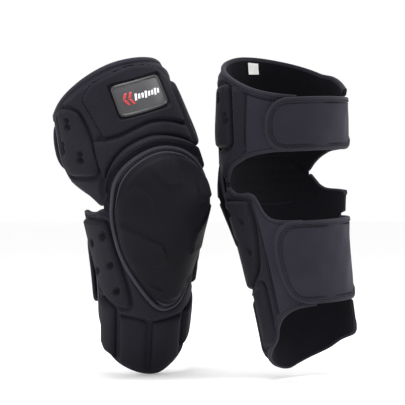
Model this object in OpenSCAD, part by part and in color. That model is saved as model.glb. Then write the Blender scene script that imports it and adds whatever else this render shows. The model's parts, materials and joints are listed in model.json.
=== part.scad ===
// A pair of soft motorcycle knee guards, standing as if worn, in millimetres.
// The origin is the centre of the right knee. +Z is up and -Y is where the right guard faces.
//
// Both guards share one shape, drawn as the left one and mirrored for the right. Every piece is a
// patch of that shape, given in leg coordinates: an angle round the leg in degrees (0 in front,
// positive towards the outer side of the leg), a height above the knee, and a depth outwards
// from the inside of the sleeve.

/* [Leg opening] */
// Half the width of the sleeve at the knee
knee_half_width = 70; // [66:1:76]
// Half the depth of the sleeve at the knee
knee_half_depth = 69; // [66:1:74]
// Growth of the half width per millimetre up the thigh
thigh_flare_width = -0.04; // [-0.06:0.002:0.04]
// Growth of the half depth per millimetre up the thigh
thigh_flare_depth = 0; // [-0.02:0.002:0.03]
// Loss of half width from the knee to the ankle end
shin_drop_width = 22; // [20:0.1:28]
// Loss of half depth from the knee to the ankle end
shin_drop_depth = 16.5; // [15:0.1:24]
// Length over which the shin narrows
shin_taper = 60; // [50:1:80]
// Squareness of the section, 2 for an ellipse
squareness = 2.2; // [2:0.05:2.6]

/* [Bend of the leg] */
// Backward lean of the thigh in degrees
thigh_lean = 18; // [12:0.5:22]
// Backward lean of the shin in degrees
shin_lean = 15.5; // [10:0.5:20]
// Length of the round bend at the knee
knee_bend = 40; // [30:1:60]

/* [Height] */
// Height of the front of the thigh rim above the knee
rim_front = 153; // [148:1:160]
// Height of the back of the thigh rim above the knee
rim_back = 91; // [90:1:96]
// Depth of the front of the ankle hem below the knee
hem_front = 229; // [227:1:234]

/* [Layers] */
// Thickness of the neoprene sleeve
sleeve_t = 3; // [2.4:0.1:3]
// Thickness of the inner lining
lining_t = 1.2; // [0.8:0.1:1.4]
// Free space between two layers
layer_gap = 0.5; // [0.4:0.1:0.5]
// Thickness of the moulded pads on the thigh front
front_pad_t = 6; // [4:0.5:7]
// Thickness of the side pads
side_pad_t = 8; // [6:0.5:9]
// Thickness of the shin ribs
rib_t = 6; // [4:0.5:7]
// Thickness of the straps
strap_t = 3; // [2:0.1:3.5]

/* [Knee cup] */
// Width of the outer half of the cup in degrees round the leg
cup_outer_half = 58; // [50:1:58]
// Width of the inner half of the cup in degrees round the leg
cup_inner_half = 54; // [50:1:54]
// Height of the cup's top above the knee
cup_top = 54; // [50:1:54]
// Depth of the cup's tip below the knee
cup_tip = 146; // [138:1:147]
// How far the cup bulges in the middle
cup_crown = 14; // [10:0.5:16]
// Thickness of the hard shell inside the cup
shell_t = 2.4; // [2:0.1:3]

/* [Stance of the pair] */
// Sideways distance between the two knees
knee_spacing = 174.6; // [172:0.2:240]
// Turn of the right guard about the upright, in degrees
right_turn = 25; // [20:1:30]
// Turn of the left guard about the upright, in degrees
left_turn = 217; // [210:1:224]
// Outward lean of the thigh and the shin of the right guard, in degrees
right_splay = [4, 9]; // [0:0.5:15]
// Outward lean of the thigh and the shin of the left guard, in degrees
left_splay = [15, 3]; // [0:0.5:15]
// Rise of the right guard's front rim
right_rim_rise = 4; // [-10:1:6]
// Rise of the left guard's front rim
left_rim_rise = -8; // [-10:1:6]
// Bulge of the right guard above its outer notch
right_bulge = 9; // [0:1:10]
// Bulge of the left guard above its outer notch
left_bulge = 3; // [0:1:10]

/* [Hidden] */
left_rise = 12;
right_pitch = -13.5;
right_roll = -11.5;
right_notch_lift = 7;
left_pitch = -2;
left_roll = -2.5;
cup_height_mid = -40;
cup_facets = 28;
root_angle = 254.5;
panel_shift = -5;
sleeve_angles = [-104.5, -99, -92, -80, -70, -62, -50, -40, -30, -20, -10, 0,
                 10, 20, 30, 40, 50, 62, 70, 80, 92, 104, 114, 124, 136, 149];
pad_base = sleeve_t + layer_gap;

PARTS = ["thigh_sleeve", "thigh_lining", "thigh_rim_binding", "thigh_front_pad", "thigh_arch_pad",
         "thigh_roll_pad", "thigh_outer_pad", "thigh_inner_pad", "badge_frame", "badge_plate",
         "care_label", "thigh_loop_panel", "thigh_strap", "thigh_hook_patch", "knee_stretch_panel",
         "cup_cover", "cup_shell", "cup_foam", "cup_piping", "shin_sleeve", "shin_lining",
         "shin_outer_rib", "shin_inner_rib", "shin_outer_pad", "shin_inner_pad", "shin_low_outer_pad",
         "shin_low_inner_pad", "calf_loop_panel", "calf_strap", "calf_hook_patch"];

// ---- curves -------------------------------------------------------------------------------

// Smooth curve through a few stations [[x, y], ...] in order of x, level beyond its ends
function slope(p, i) = let (a = max(i - 1, 0), b = min(i + 1, len(p) - 1))
    (p[b].y - p[a].y) / (p[b].x - p[a].x);
function hermite(p, i, w, t) = let (t2 = t * t, t3 = t2 * t)
    (2 * t3 - 3 * t2 + 1) * p[i].y + (t3 - 2 * t2 + t) * w * slope(p, i)
    + (3 * t2 - 2 * t3) * p[i + 1].y + (t3 - t2) * w * slope(p, i + 1);
function station(p, x, i = 0) = i >= len(p) - 2 || x < p[i + 1].x ? i : station(p, x, i + 1);
function curve(p, x) = x <= p[0].x ? p[0].y : x >= p[len(p) - 1].x ? p[len(p) - 1].y
    : let (i = station(p, x), w = p[i + 1].x - p[i].x) hermite(p, i, w, (x - p[i].x) / w);
function ease(x) = let (t = min(max(x, 0), 1)) t * t * (3 - 2 * t);
function signed_pow(v, p) = sign(v) * pow(abs(v), p);

// ---- the shape of the leg -----------------------------------------------------------------

// Each soft guard stands in its own way: $splay is its outward lean, $rim_rise lifts its front rim,
// $bulge widens it above the outer notch and $notch_lift raises the shin's edge below that notch.
function bend(z) = sqrt(z * z + knee_bend * knee_bend) - knee_bend;
function half_width(z) = z > 0 ? knee_half_width + thigh_flare_width * bend(z)
    : knee_half_width - shin_drop_width * (1 - exp(-bend(z) / shin_taper));
function half_depth(z) = z > 0 ? knee_half_depth + thigh_flare_depth * bend(z)
    : knee_half_depth - shin_drop_depth * (1 - exp(-bend(z) / shin_taper));
function leg(p, t) = let (
        u = p.x, z = p.y, a = half_width(z), b = half_depth(z),
        k = pow(pow(abs(sin(u)), squareness) + pow(abs(cos(u)), squareness), -1 / squareness),
        s = sin(u) * k, c = cos(u) * k,
        nx = signed_pow(s, squareness - 1) / a, ny = signed_pow(c, squareness - 1) / b,
        l = norm([nx, ny]), across = a * s + t * nx / l, along = -b * c - t * ny / l,
        outer = ease(across / 70), front = 0.5 - along / 140)
    [across + $bulge * outer * exp(-pow((z - 50) / 35, 2)) + bend(z) * tan(z > 0 ? $splay[0] : $splay[1]),
     along + bend(z) * tan(z > 0 ? thigh_lean : shin_lean),
     z + $rim_rise * ease((z - 70) / 80) * front + $notch_lift * outer * exp(-pow((z + 22) / 20, 2))];

// ---- outlines, as heights over the angle --------------------------------------------------

function rim(u) = rim_back + (rim_front - rim_back) * pow((1 + cos(u)) / 2, 1.5) + 7 * ease(-u / 80)
    - 11 * ease((-u - 88) / 16.5);
function thigh_low(u) = curve([[-104.5, 31], [-94, 30], [-86, 28], [-75, 21.5], [-68, 14], [-63.5, 7],
    [-59, 4], [-52, 13], [-40, 24], [0, 24], [40, 24], [52, 13], [60, 1], [64, -2], [72, 10],
    [80, 16], [95, 23], [110, 28], [130, 31], [180, 31]], u);
function shin_top(u) = curve([[-104.5, -19.5], [-96, -18.5], [-82, -16.5], [-74, -12], [-68, -4],
    [-64, 1], [-61, -4], [-52, -22], [-40, -32], [0, -32], [40, -32], [52, -22], [60, -12], [64, -9],
    [75, -15], [85, -17], [104, -19], [111, -38], [118, -46], [133, -49], [180, -49]], u);
function hem(u) = curve([[-104.5, -172], [-103, -181], [-98, -188], [-90, -193], [-75, -201],
    [-60, -209], [-40, -217], [-20, -224], [0, -hem_front], [20, -225], [40, -216], [60, -205],
    [75, -195], [88, -184], [93, -173], [102, -162], [112, -155], [125, -149], [140, -146],
    [180, -143]], u);
function front_groove(u) = curve([[-47, 66], [-42, 69], [-20, 81], [-5, 84], [10, 82], [24, 78],
    [37, 77], [45, 77]], u);
function roll_top(u) = curve([[-52, 32], [-45, 44], [-30, 57], [-12, 67], [3, 70], [21, 65],
    [32, 55], [43, 38], [52, 20]], u);
function roll_bottom(u) = curve([[-52, 25], [-46, 35], [-27, 50], [-10, 59.5], [3, 61], [16, 58],
    [25, 52.5], [37, 41], [46, 27], [52, 13]], u);
function rib_top(u) = curve([[-33, -162], [-15, -161], [8, -159], [20, -157], [32, -150],
    [56, -142]], u);
function low_pad_bottom(u) = curve([[-90, -184], [-80, -192], [-60, -199], [-33, -207], [59, -200],
    [70, -195], [82, -190], [90, -180]], u);
function low_pad_top(u) = curve([[-90, -146], [-86, -139], [-75, -141], [-56, -151], [-33, -160],
    [59, -144], [63, -134], [75, -127], [87, -121], [90, -128]], u);

// ---- grids of [angle, height] -------------------------------------------------------------

// Shares from 0 to 1 with a narrow border at both ends
function shares(n, border) = [0, for (k = [0:n]) border + (1 - 2 * border) * k / n, 1];
function spread(from, to, n) = [for (k = [0:n]) from + (to - from) * k / n];
function spread_shares(from, to, part) = [for (s = part) from + (to - from) * s];
// Rows between a lower and an upper outline
function rows_between(angles, low, high, part) =
    [for (s = part) [for (u = angles) [u, low(u) + (high(u) - low(u)) * s]]];
// Rows at given heights between a first and a last angle
function rows_at(heights, first, last, part) =
    [for (z = heights) [for (s = part) [first(z) + (last(z) - first(z)) * s, z]]];
function at_border(i, j, grid) = i == 0 || j == 0 || i == len(grid) - 1 || j == len(grid[0]) - 1;

// Closed solid over a grid, from depth inner(i, j) out to depth outer(i, j)
module slab(grid, inner, outer) {
    rows = len(grid);
    cols = len(grid[0]);
    far = rows * cols;
    points = concat(
        [for (i = [0:rows - 1]) for (j = [0:cols - 1]) leg(grid[i][j], inner(i, j))],
        [for (i = [0:rows - 1]) for (j = [0:cols - 1]) leg(grid[i][j], outer(i, j))]);
    skins = [for (i = [0:rows - 2]) for (j = [0:cols - 2])
        let (a = i * cols + j, b = a + 1, d = a + cols, c = d + 1)
        each [[a, c, d], [a, b, c], [far + a, far + d, far + c], [far + a, far + c, far + b]]];
    ends = [for (j = [0:cols - 2]) let (a = j, d = (rows - 1) * cols + j)
        each [[a, far + a, far + a + 1], [a, far + a + 1, a + 1],
              [d, far + d + 1, far + d], [d, d + 1, far + d + 1]]];
    sides = [for (i = [0:rows - 2]) let (a = i * cols, d = a + cols, b = a + cols - 1, c = b + cols)
        each [[a, d, far + d], [a, far + d, far + a], [b, far + c, c], [b, far + b, far + c]]];
    polyhedron(points, concat(skins, ends, sides));
}

// Layer of even thickness
module layer(grid, from, to) {
    slab(grid, function (i, j) from, function (i, j) to);
}

// Moulded pad: a low lip round a raised middle
module pad(grid, height, lip = 2.5) {
    slab(grid, function (i, j) pad_base,
        function (i, j) pad_base + (at_border(i, j, grid) ? lip : height));
}

// ---- shapes laid round a centre, such as the knee cup -------------------------------------

function cup_outline(phi) = let (s = sin(phi), c = cos(phi), z = cup_height_mid
        + s * (s > 0 ? cup_top - cup_height_mid : cup_tip + cup_height_mid))
    [(c > 0 ? cup_outer_half : cup_inner_half) * c * (1 - 0.47 * pow(min(s, 0), 2) * abs(c))
     + (z - cup_top) / 25, z];
function toward(centre, p, share) = centre + (p - centre) * share;
cup_centre = [-2.4, cup_height_mid];
function cup_lift(share) = cup_crown * (1 - pow(share, 2.5));

// Closed dome whose rings lie at shares of the way from the centre to the outline
module dome(rings, inner, outer) {
    n = cup_facets;
    m = len(rings);
    far = 1 + m * n;
    function side_points(depth) = concat([leg(cup_centre, depth(0))],
        [for (r = rings) for (k = [0:n - 1])
            leg(toward(cup_centre, cup_outline(360 * k / n), r), depth(r))]);
    function cap(o, turn) = [for (k = [0:n - 1])
        turn ? [o, o + 1 + (k + 1) % n, o + 1 + k] : [o, o + 1 + k, o + 1 + (k + 1) % n]];
    function belt(o, i, turn) = [for (k = [0:n - 1])
        let (a = o + 1 + i * n + k, b = o + 1 + i * n + (k + 1) % n, c = b + n, d = a + n)
        each turn ? [[a, b, c], [a, c, d]] : [[a, c, b], [a, d, c]]];
    wall = [for (k = [0:n - 1]) let (a = 1 + (m - 1) * n + k, b = 1 + (m - 1) * n + (k + 1) % n)
        each [[a, far + a, far + b], [a, far + b, b]]];
    polyhedron(concat(side_points(inner), side_points(outer)), concat(
        cap(0, false), [for (i = [0:m - 2]) each belt(0, i, false)],
        cap(far, true), [for (i = [0:m - 2]) each belt(far, i, true)], wall));
}

// Closed tube round an outline; section lists [share, depth] points in order
module tube_round(outline, centre, section, n) {
    m = len(section);
    points = [for (k = [0:n - 1]) for (q = section)
        leg(toward(centre, outline(360 * k / n), q.x), q.y)];
    faces = [for (k = [0:n - 1]) for (j = [0:m - 1])
        let (a = k * m + j, b = k * m + (j + 1) % m, c = ((k + 1) % n) * m + (j + 1) % m,
             d = ((k + 1) % n) * m + j)
        each [[a, b, c], [a, c, d]]];
    polyhedron(points, faces);
}

// ---- thigh section ------------------------------------------------------------------------

binding_h = 5;
// The sleeves reach further round the inner side of the leg above and below the strap roots
thigh_rows = [0, 0.12, 0.24, 0.36, 0.48, 0.6, 0.72, 0.84, 0.93, 1];
shin_rows = [0, 0.07, 0.144, 0.179, 0.29, 0.4, 0.5, 0.6, 0.71, 0.818, 0.856, 1];
thigh_reach = function (s) s > 0.99 ? 20 : 0;
shin_reach = function (s) s > 0.85 ? 11 : s < 0.15 ? 14 : 0;
function sleeve_rows(low, high, part, reach) = [for (s = part) [for (u = sleeve_angles)
    [u - reach(s) * ease((-u - 80) / 24.5), low(u) + (high(u) - low(u)) * s]]];

module thigh_sleeve() color([0.2, 0.21, 0.23])
    layer(sleeve_rows(function (u) thigh_low(u), function (u) rim(u) - binding_h - layer_gap,
        thigh_rows, thigh_reach), 0, sleeve_t);

module thigh_lining() color([0.08, 0.08, 0.09])
    layer(sleeve_rows(function (u) thigh_low(u) + 2, function (u) rim(u) - binding_h - 2,
        thigh_rows, thigh_reach), -layer_gap - lining_t, -layer_gap);

module thigh_rim_binding() color([0.1, 0.1, 0.11])
    layer(sleeve_rows(function (u) rim(u) - binding_h, function (u) rim(u), [0, 1],
        function (s) 20), -1.2, sleeve_t + 1.2);

// Raised front panel with a sunk field for the badge
recess = [23.5, 93, 131.5];
module thigh_front_pad() {
    half = [41, 38, 31, 25.5, recess.x, 12];
    angles = [for (u = half) panel_shift - u, panel_shift,
              for (k = [len(half) - 1:-1:0]) panel_shift + half[k]];
    low = function (u) front_groove(u) + 1.2;
    high = function (u) curve([[0, 145], [20, 141], [32, 134], [41, 121]], abs(u - panel_shift));
    inside = function (z, u, k) min(max(z, low(u) + 4 + k), high(u) - 8 + k);
    heights = function (u) [low(u), low(u) + 3, inside(recess.y - 2, u, 0), inside(recess.y, u, 1),
        inside(112, u, 2), inside(recess.z, u, 3), inside(recess.z + 2, u, 4), high(u) - 3, high(u)];
    // The outer edge of the panel leans outwards as it rises
    leaning = function (u, z) [u + 7 * min(max((z - 79) / 33, 0), 1.2) * ease((u - 5) / 32), z];
    grid = [for (k = [0:8]) [for (u = angles) leaning(u, heights(u)[k])]];
    function sunk(i, j) = i >= 3 && i <= 5 && abs(angles[j] - panel_shift) <= recess.x;
    color([0.13, 0.13, 0.14]) slab(grid, function (i, j) pad_base, function (i, j) pad_base
        + (at_border(i, j, grid) ? 2.5 : sunk(i, j) ? 2.2 : front_pad_t));
}

module thigh_arch_pad() color([0.13, 0.13, 0.14])
    pad(rows_between(spread_shares(-46, 42, shares(8, 0.04)), function (u) roll_top(u) + 1.5,
        function (u) front_groove(u) - 1.2, shares(1, 0.22)), front_pad_t - 1);

module thigh_roll_pad() color([0.12, 0.12, 0.13])
    pad(rows_between(spread_shares(-52, 52, shares(10, 0.04)), function (u) roll_bottom(u),
        function (u) roll_top(u), shares(1, 0.25)), front_pad_t + 2);

module thigh_side_pad(side) color([0.12, 0.12, 0.13])
    pad(side_rows([38, 42, 51, 62, 73, 85, 96, 108, 113], side,
        function (z) curve([[38, 54], [44, 49], [57, 48], [87, 50], [107, 53], [113, 58]], z),
        function (z) curve([[38, 80], [46, 85], [104, 81], [113, 77]], z), shares(3, 0.12)),
        side_pad_t);

// Rows of a side pad on the outer (1) or the inner (-1) side of the leg
function side_rows(heights, side, first, last, part) = side > 0 ? rows_at(heights, first, last, part)
    : rows_at(heights, function (z) -last(z), function (z) -first(z), part);

module thigh_outer_pad() thigh_side_pad(1);
module thigh_inner_pad() thigh_side_pad(-1);

badge_centre = [-6, 112.5];
function badge_outline(phi) = badge_centre + [20.8 * signed_pow(cos(phi), 0.15),
    17.2 * signed_pow(sin(phi), 0.15)];
module badge_frame() color([0.07, 0.07, 0.08])
    tube_round(function (phi) badge_outline(phi), badge_centre,
        [[0.93, 6.2], [0.93, 9.2], [0.98, 9.8], [1.05, 9.2], [1.05, 6.2]], 32);

module badge_plate() color([0.6, 0.61, 0.63])
    layer(rows_at([98.6, 112.5, 126.4], function (z) badge_centre.x - 17.9,
        function (z) badge_centre.x + 17.9, spread(0, 1, 4)), 6.3, 9);

module care_label() color([0.9, 0.9, 0.88])
    layer(rows_at([132, 147], function (z) -14, function (z) -1, spread(0, 1, 1)),
        -layer_gap - lining_t - 1, -layer_gap - lining_t - 0.5);

loop_from = sleeve_t + 0.4;
loop_to = loop_from + 0.8;
module thigh_loop_panel() color([0.27, 0.29, 0.33])
    layer(rows_between(spread(104, 148, 4), function (u) thigh_low(u) + 4,
        function (u) rim(u) - binding_h - 4, spread(0, 1, 5)), loop_from, loop_to);

// ---- straps -------------------------------------------------------------------------------

strap_from = loop_to + 2.2;
// Depth of the strap's inner face: over the wing's loop panel, then down to its sewn root
function strap_depth(u) = strap_from * (1 - ease((u - 154) / 70));
// Each strap's lower edge rises towards its root
module strap(heights, first, rise) {
    low = heights[0];
    high = heights[len(heights) - 1];
    grid = [for (row = rows_at(heights, first, function (z) root_angle, spread(0, 1, 16)))
        [for (p = row) [p.x, p.y + rise * ease((p.x - 205) / 40) * (high - p.y) / (high - low)]]];
    slab(grid, function (i, j) strap_depth(grid[i][j].x),
        function (i, j) strap_depth(grid[i][j].x) + strap_t);
}
module hook_patch(heights) color([0.1, 0.1, 0.1])
    layer(rows_at(heights, function (z) 129, function (z) 148, spread(0, 1, 2)),
        loop_to + 0.5, strap_from - 1.1);

module thigh_strap() color([0.3, 0.32, 0.36])
    strap([31, 38, 50, 64, 77, 86, 90], function (z)
        curve([[31, 140], [38, 129], [50, 125], [64, 124], [77, 127], [86, 133], [90, 141]], z), 11);
module thigh_hook_patch() hook_patch([42, 51, 60, 69, 78]);

module calf_strap() color([0.3, 0.32, 0.36])
    strap([-142, -135, -120, -100, -75, -60, -53, -50], function (z)
        curve([[-142, 140], [-135, 123], [-120, 118], [-100, 117], [-75, 120], [-60, 126],
               [-50, 141]], z), 9);
module calf_hook_patch() hook_patch([-128, -104, -82, -62]);

// ---- knee ---------------------------------------------------------------------------------

module knee_stretch_panel() color([0.1, 0.1, 0.11])
    layer(rows_between([for (u = sleeve_angles) if (abs(u) < 63) u],
        function (u) shin_top(u) + 0.6, function (u) thigh_low(u) - 0.6, spread(0, 1, 3)), 0.4, 2.2);

cup_rings = [0.3, 0.55, 0.78];
foam_from = sleeve_t + 0.9;
foam_to = foam_from + 0.8;
shell_from = foam_to + 1;
cover_from = shell_from + shell_t + 0.5;
cover_edge = [0.87, 0.93, 0.97];
module cup_foam() color([0.3, 0.3, 0.3])
    dome(concat(cup_rings, [0.84]), function (r) foam_from,
        function (r) foam_to + cup_lift(r) * 0.7);

module cup_shell() color([0.15, 0.15, 0.16])
    dome(concat(cup_rings, [0.85]), function (r) shell_from + cup_lift(r) * 0.7,
        function (r) shell_from + shell_t + cup_lift(r) * 0.7);

module cup_cover() color([0.1, 0.1, 0.11])
    dome(concat(cup_rings, cover_edge),
        function (r) r < cover_edge[0] + 0.01 ? cover_from + cup_lift(r) * 0.7 : foam_from,
        function (r) r > 0.95 ? foam_from + 3.4 : cover_from + 1.8 + cup_lift(r) * 0.76);

module cup_piping() color([0.22, 0.22, 0.24])
    tube_round(function (phi) cup_outline(phi), cup_centre,
        [[0.978, 3.8], [0.978, 6.6], [0.995, 7.6], [1.015, 6.6], [1.02, 3.8]], cup_facets);

// ---- shin section -------------------------------------------------------------------------

module shin_sleeve() color([0.2, 0.21, 0.23])
    layer(sleeve_rows(function (u) hem(u), function (u) shin_top(u), shin_rows, shin_reach),
        0, sleeve_t);

module shin_lining() color([0.08, 0.08, 0.09])
    layer(sleeve_rows(function (u) hem(u) + 3, function (u) shin_top(u) - 2, shin_rows,
        shin_reach), -layer_gap - lining_t, -layer_gap);

module rib(first, last) color([0.13, 0.13, 0.14])
    pad(rows_between(spread_shares(first, last, shares(3, 0.08)), function (u) hem(u) + 6,
        function (u) rib_top(u), shares(2, 0.05)), rib_t);
module shin_outer_rib() rib(19.5, 56.5);
module shin_inner_rib() rib(-29.5, 16.5);

module shin_side_pad(side, front, rear) color([0.12, 0.12, 0.13])
    pad(side_rows([-132, -128, -122, -115, -107, -95, -75, -55, -33, -28], side,
        function (z) curve(front, z), function (z) curve(rear, z), shares(3, 0.12)), side_pad_t);
module shin_outer_pad() shin_side_pad(1,
    [[-132, 41], [-120, 42.5], [-103, 46], [-83, 51], [-55, 57], [-36, 59.5], [-28, 61]],
    [[-132, 50], [-128, 58], [-122, 66], [-115, 76], [-107, 84], [-95, 90], [-55, 98.5], [-33, 98.5],
     [-28, 95]]);
module shin_inner_pad() shin_side_pad(-1,
    [[-132, 53], [-103, 54], [-71, 60], [-36, 63], [-28, 65]],
    [[-132, 64], [-128, 70], [-115, 80], [-95, 89], [-55, 98.5], [-33, 98.5], [-28, 95]]);

module shin_low_pad(first, last) color([0.12, 0.12, 0.13])
    pad(rows_between(spread_shares(first, last, shares(3, 0.1)), function (u) low_pad_bottom(u),
        function (u) low_pad_top(u), shares(2, 0.06)), side_pad_t - 1);
module shin_low_outer_pad() shin_low_pad(60, 90);
module shin_low_inner_pad() shin_low_pad(-90, -33.5);

module calf_loop_panel() color([0.27, 0.29, 0.33])
    layer(rows_between(spread(104, 148, 4), function (u) hem(u) + 4,
        function (u) shin_top(u) - 4, spread(0, 1, 4)), loop_from, loop_to);

// ---- the pair -----------------------------------------------------------------------------

module right_guard() {
    $splay = right_splay;
    $rim_rise = right_rim_rise;
    $bulge = right_bulge;
    $notch_lift = right_notch_lift;
    rotate([0, right_roll, 0]) rotate([-right_pitch, 0, 0]) rotate([0, 0, right_turn])
        mirror([1, 0, 0]) children();
}
module left_guard() {
    $splay = left_splay;
    $rim_rise = left_rim_rise;
    $bulge = left_bulge;
    $notch_lift = 0;
    translate([knee_spacing, 0, left_rise]) rotate([0, left_roll, 0]) rotate([-left_pitch, 0, 0])
        rotate([0, 0, left_turn]) children();
}

right_guard() thigh_sleeve();  // right_thigh_sleeve
right_guard() thigh_lining();  // right_thigh_lining
right_guard() thigh_rim_binding();  // right_thigh_rim_binding
right_guard() thigh_front_pad();  // right_thigh_front_pad
right_guard() thigh_arch_pad();  // right_thigh_arch_pad
right_guard() thigh_roll_pad();  // right_thigh_roll_pad
right_guard() thigh_outer_pad();  // right_thigh_outer_pad
right_guard() thigh_inner_pad();  // right_thigh_inner_pad
right_guard() badge_frame();  // right_badge_frame
right_guard() badge_plate();  // right_badge_plate
right_guard() care_label();  // right_care_label
right_guard() thigh_loop_panel();  // right_thigh_loop_panel
right_guard() thigh_strap();  // right_thigh_strap
right_guard() thigh_hook_patch();  // right_thigh_hook_patch
right_guard() knee_stretch_panel();  // right_knee_stretch_panel
right_guard() cup_cover();  // right_cup_cover
right_guard() cup_shell();  // right_cup_shell
right_guard() cup_foam();  // right_cup_foam
right_guard() cup_piping();  // right_cup_piping
right_guard() shin_sleeve();  // right_shin_sleeve
right_guard() shin_lining();  // right_shin_lining
right_guard() shin_outer_rib();  // right_shin_outer_rib
right_guard() shin_inner_rib();  // right_shin_inner_rib
right_guard() shin_outer_pad();  // right_shin_outer_pad
right_guard() shin_inner_pad();  // right_shin_inner_pad
right_guard() shin_low_outer_pad();  // right_shin_low_outer_pad
right_guard() shin_low_inner_pad();  // right_shin_low_inner_pad
right_guard() calf_loop_panel();  // right_calf_loop_panel
right_guard() calf_strap();  // right_calf_strap
right_guard() calf_hook_patch();  // right_calf_hook_patch
left_guard() thigh_sleeve();  // left_thigh_sleeve
left_guard() thigh_lining();  // left_thigh_lining
left_guard() thigh_rim_binding();  // left_thigh_rim_binding
left_guard() thigh_front_pad();  // left_thigh_front_pad
left_guard() thigh_arch_pad();  // left_thigh_arch_pad
left_guard() thigh_roll_pad();  // left_thigh_roll_pad
left_guard() thigh_outer_pad();  // left_thigh_outer_pad
left_guard() thigh_inner_pad();  // left_thigh_inner_pad
left_guard() badge_frame();  // left_badge_frame
left_guard() badge_plate();  // left_badge_plate
left_guard() care_label();  // left_care_label
left_guard() thigh_loop_panel();  // left_thigh_loop_panel
left_guard() thigh_strap();  // left_thigh_strap
left_guard() thigh_hook_patch();  // left_thigh_hook_patch
left_guard() knee_stretch_panel();  // left_knee_stretch_panel
left_guard() cup_cover();  // left_cup_cover
left_guard() cup_shell();  // left_cup_shell
left_guard() cup_foam();  // left_cup_foam
left_guard() cup_piping();  // left_cup_piping
left_guard() shin_sleeve();  // left_shin_sleeve
left_guard() shin_lining();  // left_shin_lining
left_guard() shin_outer_rib();  // left_shin_outer_rib
left_guard() shin_inner_rib();  // left_shin_inner_rib
left_guard() shin_outer_pad();  // left_shin_outer_pad
left_guard() shin_inner_pad();  // left_shin_inner_pad
left_guard() shin_low_outer_pad();  // left_shin_low_outer_pad
left_guard() shin_low_inner_pad();  // left_shin_low_inner_pad
left_guard() calf_loop_panel();  // left_calf_loop_panel
left_guard() calf_strap();  // left_calf_strap
left_guard() calf_hook_patch();  // left_calf_hook_patch
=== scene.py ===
"""A pair of soft motorcycle knee guards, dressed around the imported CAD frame.

Both guards share one shape, drawn as the left one in millimetres and mirrored for the right. A point
is given in leg coordinates: the angle round the leg in degrees (0 in front, positive on the outer side),
the height above the knee, and the depth outwards from the inside of the sleeve.
"""

import json
import math

import bpy
import numpy as np
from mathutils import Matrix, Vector


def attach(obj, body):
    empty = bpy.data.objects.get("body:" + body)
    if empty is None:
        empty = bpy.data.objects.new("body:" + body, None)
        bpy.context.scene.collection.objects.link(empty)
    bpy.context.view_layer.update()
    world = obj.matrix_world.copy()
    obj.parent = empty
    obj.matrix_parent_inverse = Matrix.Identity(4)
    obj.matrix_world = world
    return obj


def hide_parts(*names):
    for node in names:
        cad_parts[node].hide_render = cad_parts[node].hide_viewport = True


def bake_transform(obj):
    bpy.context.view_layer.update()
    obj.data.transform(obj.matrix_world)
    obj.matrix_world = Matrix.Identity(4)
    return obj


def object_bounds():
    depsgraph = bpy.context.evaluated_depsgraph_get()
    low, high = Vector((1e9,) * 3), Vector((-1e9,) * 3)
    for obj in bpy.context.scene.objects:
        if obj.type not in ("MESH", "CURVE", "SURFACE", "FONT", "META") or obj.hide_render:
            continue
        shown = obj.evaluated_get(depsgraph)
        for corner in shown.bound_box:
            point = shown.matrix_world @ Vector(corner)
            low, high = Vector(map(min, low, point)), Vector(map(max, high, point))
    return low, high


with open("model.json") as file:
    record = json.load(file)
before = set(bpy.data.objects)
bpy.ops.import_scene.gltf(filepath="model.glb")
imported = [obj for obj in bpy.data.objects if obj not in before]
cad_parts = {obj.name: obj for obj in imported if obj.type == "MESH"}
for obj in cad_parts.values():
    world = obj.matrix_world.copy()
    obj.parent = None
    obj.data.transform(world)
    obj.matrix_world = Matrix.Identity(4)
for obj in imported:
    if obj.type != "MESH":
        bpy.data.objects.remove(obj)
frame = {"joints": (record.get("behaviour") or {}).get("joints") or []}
cad_low, cad_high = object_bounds()

MM = 0.001

# ---- the shape of the leg, as in the CAD model ----

KNEE_HALF_WIDTH, KNEE_HALF_DEPTH = 70.0, 69.0
FLARE_WIDTH, FLARE_DEPTH = -0.04, 0.0
DROP_WIDTH, DROP_DEPTH, TAPER = 22.0, 16.5, 60.0
SQUARENESS = 2.2
THIGH_LEAN, SHIN_LEAN = 18.0, 15.5
KNEE_BEND = 40.0
RIM_FRONT, RIM_BACK, HEM_FRONT = 153.0, 91.0, 229.0
ROOT_ANGLE = 254.5
WING_END, MEDIAL_END = 149.0, -104.5
SLEEVE_T = 3.0
STRAP_OVER_WING = 6.4  # depth of a strap's inner face over the wing
CUP_MID, CUP_TOP, CUP_TIP, CUP_CROWN = -40.0, 54.0, 146.0, 14.0
CUP_OUTER_HALF, CUP_INNER_HALF = 58.0, 54.0
CUP_LEAN = 25  # millimetres of height in which the cup's middle line leans by one degree
CUP_CENTRE = (-2.4, CUP_MID)
FREE_EDGES = ((MEDIAL_END, -62.5), (60.5, WING_END))  # angles where the edges at the knee are bare


def rotation(axis, degrees):
    c, s = math.cos(math.radians(degrees)), math.sin(math.radians(degrees))
    rows = {
        "x": ((1, 0, 0), (0, c, -s), (0, s, c)),
        "y": ((c, 0, s), (0, 1, 0), (-s, 0, c)),
        "z": ((c, -s, 0), (s, c, 0), (0, 0, 1)),
    }
    return np.array(rows[axis])


def knee_centre(side):
    """Where that guard's knee is, in millimetres: the point that its knee hinge turns about."""
    joint = next(j for j in frame["joints"] if j["name"] == f"{side}_knee_flex")
    return np.array(joint["pos_m"]) / MM


STANCE = {  # turn about the upright, tip forwards, tip sideways
    "right": (25.0, -13.5, -11.5),
    "left": (217.0, -2.0, -2.5),
}
SETTLE = {  # outward lean of thigh and shin, rise of the front rim, bulge and lift beside the outer knee
    "right": (4.0, 9.0, 4.0, 9.0, 7.0),
    "left": (15.0, 3.0, -8.0, 3.0, 0.0),
}


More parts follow.
